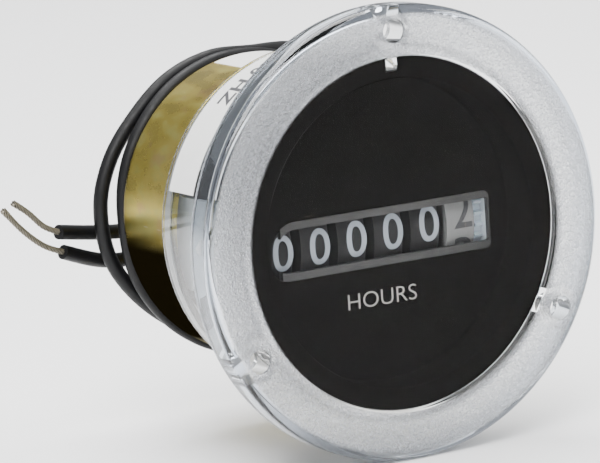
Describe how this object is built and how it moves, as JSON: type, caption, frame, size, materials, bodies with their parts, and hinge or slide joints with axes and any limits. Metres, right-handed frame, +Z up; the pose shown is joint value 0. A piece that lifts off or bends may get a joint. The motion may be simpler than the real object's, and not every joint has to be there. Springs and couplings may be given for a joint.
{
  "type": "panel hour meter",
  "caption": "Round panel-mounting elapsed-time meter: clear flanged case, black dial with a drum counter, plated motor can behind and two loose leads.",
  "frame": {"origin": "centre of the flange's back face, on the case's axis", "axes": "+Y from the dial to the back, through the panel; +Z up the dial; the dial faces -Y"},
  "size_m": [0.0793, 0.0585, 0.0714],
  "materials": {
    "clear_polycarbonate": "clear window, frosted flange",
    "frosted_ring": "satin",
    "dial_black": "brownish black, fine dust",
    "frame_grey": "satin",
    "frame_white": "moulded nylon",
    "bright_steel": "ground",
    "brass": "turned",
    "pole_steel": "plated",
    "bobbin_nylon": "moulded",
    "copper_winding": "enamelled wire",
    "yellow_zinc": "yellow chromate zinc",
    "black_rubber": "moulded",
    "label_white": "paper",
    "lead_black": "soft insulation",
    "tinned_strands": "tinned stranded wire",
    "wheel_white": "satin",
    "wheel_black": "satin",
    "pinion_nylon": "moulded nylon",
    "ferrite": "ferrite",
    "train_nylon": "moulded nylon",
    "gear_white": "milky nylon"
  },
  "bodies": {
    "housing": {"case": "clear_polycarbonate", "retaining_ring": "frosted_ring", "dial": "dial_black", "opening_frame": "frame_grey", "counter_frame": "frame_white", "wheel_shaft": "bright_steel", "transfer_shaft": "bright_steel", "second_arbor": "bright_steel", "first_arbor": "bright_steel", "front_bush": "brass", "rear_bush": "brass", "front_pole_plate": "pole_steel", "rear_pole_plate": "pole_steel", "coil_bobbin": "bobbin_nylon", "coil_winding": "copper_winding", "train_posts": "bright_steel", "train_screws": "bright_steel", "motor_can": "yellow_zinc", "lead_grommet": "black_rubber", "case_label": "label_white", "can_label": "label_white", "lead_a": "lead_black", "lead_b": "lead_black", "lead_strands_a": "tinned_strands", "lead_strands_b": "tinned_strands"},
    "wheel_tenths": {"wheel_tenths": "wheel_white"},
    "wheel_ones": {"wheel_ones": "wheel_black"},
    "wheel_tens": {"wheel_tens": "wheel_black"},
    "wheel_hundreds": {"wheel_hundreds": "wheel_black"},
    "wheel_thousands": {"wheel_thousands": "wheel_black"},
    "wheel_ten_thousands": {"wheel_ten_thousands": "wheel_black"},
    "pinion_ones": {"pinion_ones": "pinion_nylon"},
    "pinion_tens": {"pinion_tens": "pinion_nylon"},
    "pinion_hundreds": {"pinion_hundreds": "pinion_nylon"},
    "pinion_thousands": {"pinion_thousands": "pinion_nylon"},
    "pinion_ten_thousands": {"pinion_ten_thousands": "pinion_nylon"},
    "rotor": {"rotor_magnet": "ferrite", "rotor_shaft": "bright_steel", "rotor_pinion": "brass"},
    "first_gear": {"first_gear": "train_nylon"},
    "second_gear": {"second_gear": "train_nylon"},
    "output_arbor": {"output_arbor": "brass"},
    "worm_arbor": {"worm_arbor": "brass"},
    "drive_gear": {"drive_gear": "gear_white"}
  },
  "joints": [
    {"name": "wheel_tenths_turn", "type": "hinge", "parent": "housing", "child": "wheel_tenths", "pos_m": [0, 0.0165, -0.0015], "axis": [-1, 0, 0], "continuous": true},
    {"name": "wheel_ones_turn", "type": "hinge", "parent": "housing", "child": "wheel_ones", "pos_m": [0, 0.0165, -0.0015], "axis": [-1, 0, 0], "continuous": true},
    {"name": "wheel_tens_turn", "type": "hinge", "parent": "housing", "child": "wheel_tens", "pos_m": [0, 0.0165, -0.0015], "axis": [-1, 0, 0], "continuous": true},
    {"name": "wheel_hundreds_turn", "type": "hinge", "parent": "housing", "child": "wheel_hundreds", "pos_m": [0, 0.0165, -0.0015], "axis": [-1, 0, 0], "continuous": true},
    {"name": "wheel_thousands_turn", "type": "hinge", "parent": "housing", "child": "wheel_thousands", "pos_m": [0, 0.0165, -0.0015], "axis": [-1, 0, 0], "continuous": true},
    {"name": "wheel_ten_thousands_turn", "type": "hinge", "parent": "housing", "child": "wheel_ten_thousands", "pos_m": [0, 0.0165, -0.0015], "axis": [-1, 0, 0], "continuous": true},
    {"name": "pinion_ones_turn", "type": "hinge", "parent": "housing", "child": "pinion_ones", "pos_m": [0, 0.0165, -0.0146], "axis": [-1, 0, 0], "continuous": true},
    {"name": "pinion_tens_turn", "type": "hinge", "parent": "housing", "child": "pinion_tens", "pos_m": [0, 0.0165, -0.0146], "axis": [-1, 0, 0], "continuous": true},
    {"name": "pinion_hundreds_turn", "type": "hinge", "parent": "housing", "child": "pinion_hundreds", "pos_m": [0, 0.0165, -0.0146], "axis": [-1, 0, 0], "continuous": true},
    {"name": "pinion_thousands_turn", "type": "hinge", "parent": "housing", "child": "pinion_thousands", "pos_m": [0, 0.0165, -0.0146], "axis": [-1, 0, 0], "continuous": true},
    {"name": "pinion_ten_thousands_turn", "type": "hinge", "parent": "housing", "child": "pinion_ten_thousands", "pos_m": [0, 0.0165, -0.0146], "axis": [-1, 0, 0], "continuous": true},
    {"name": "rotor_turn", "type": "hinge", "parent": "housing", "child": "rotor", "pos_m": [0, 0.0328, 0], "axis": [0, 1, 0], "continuous": true},
    {"name": "first_gear_turn", "type": "hinge", "parent": "housing", "child": "first_gear", "pos_m": [-0.00327, 0.0317, 0.00945], "axis": [0, 1, 0], "continuous": true},
    {"name": "second_gear_turn", "type": "hinge", "parent": "housing", "child": "second_gear", "pos_m": [0.00649, 0.0317, 0.00728], "axis": [0, 1, 0], "continuous": true},
    {"name": "output_arbor_turn", "type": "hinge", "parent": "housing", "child": "output_arbor", "pos_m": [0.0115, 0.0317, 0.013], "axis": [0, 1, 0], "continuous": true},
    {"name": "worm_arbor_turn", "type": "hinge", "parent": "housing", "child": "worm_arbor", "pos_m": [0.0195, 0.0317, 0.0108], "axis": [0, 1, 0], "continuous": true},
    {"name": "drive_gear_turn", "type": "hinge", "parent": "housing", "child": "drive_gear", "pos_m": [0, 0.0165, -0.0015], "axis": [-1, 0, 0], "continuous": true}
  ],
  "couplings": [
    {"joint": "wheel_ones_turn", "follows": "wheel_tenths_turn", "ratio": 0.1},
    {"joint": "wheel_tens_turn", "follows": "wheel_tenths_turn", "ratio": 0.01},
    {"joint": "wheel_hundreds_turn", "follows": "wheel_tenths_turn", "ratio": 0.001},
    {"joint": "wheel_thousands_turn", "follows": "wheel_tenths_turn", "ratio": 0.0001},
    {"joint": "wheel_ten_thousands_turn", "follows": "wheel_tenths_turn", "ratio": 0.00001},
    {"joint": "pinion_ones_turn", "follows": "wheel_tenths_turn", "ratio": -0.25},
    {"joint": "pinion_tens_turn", "follows": "wheel_tenths_turn", "ratio": -0.025},
    {"joint": "pinion_hundreds_turn", "follows": "wheel_tenths_turn", "ratio": -0.0025},
    {"joint": "pinion_thousands_turn", "follows": "wheel_tenths_turn", "ratio": -0.00025},
    {"joint": "pinion_ten_thousands_turn", "follows": "wheel_tenths_turn", "ratio": -0.000025},
    {"joint": "first_gear_turn", "follows": "rotor_turn", "ratio": -0.25},
    {"joint": "second_gear_turn", "follows": "rotor_turn", "ratio": 0.0625},
    {"joint": "output_arbor_turn", "follows": "rotor_turn", "ratio": -0.022321},
    {"joint": "worm_arbor_turn", "follows": "rotor_turn", "ratio": 0.075893},
    {"joint": "drive_gear_turn", "follows": "rotor_turn", "ratio": -0.0018973}
  ]
}
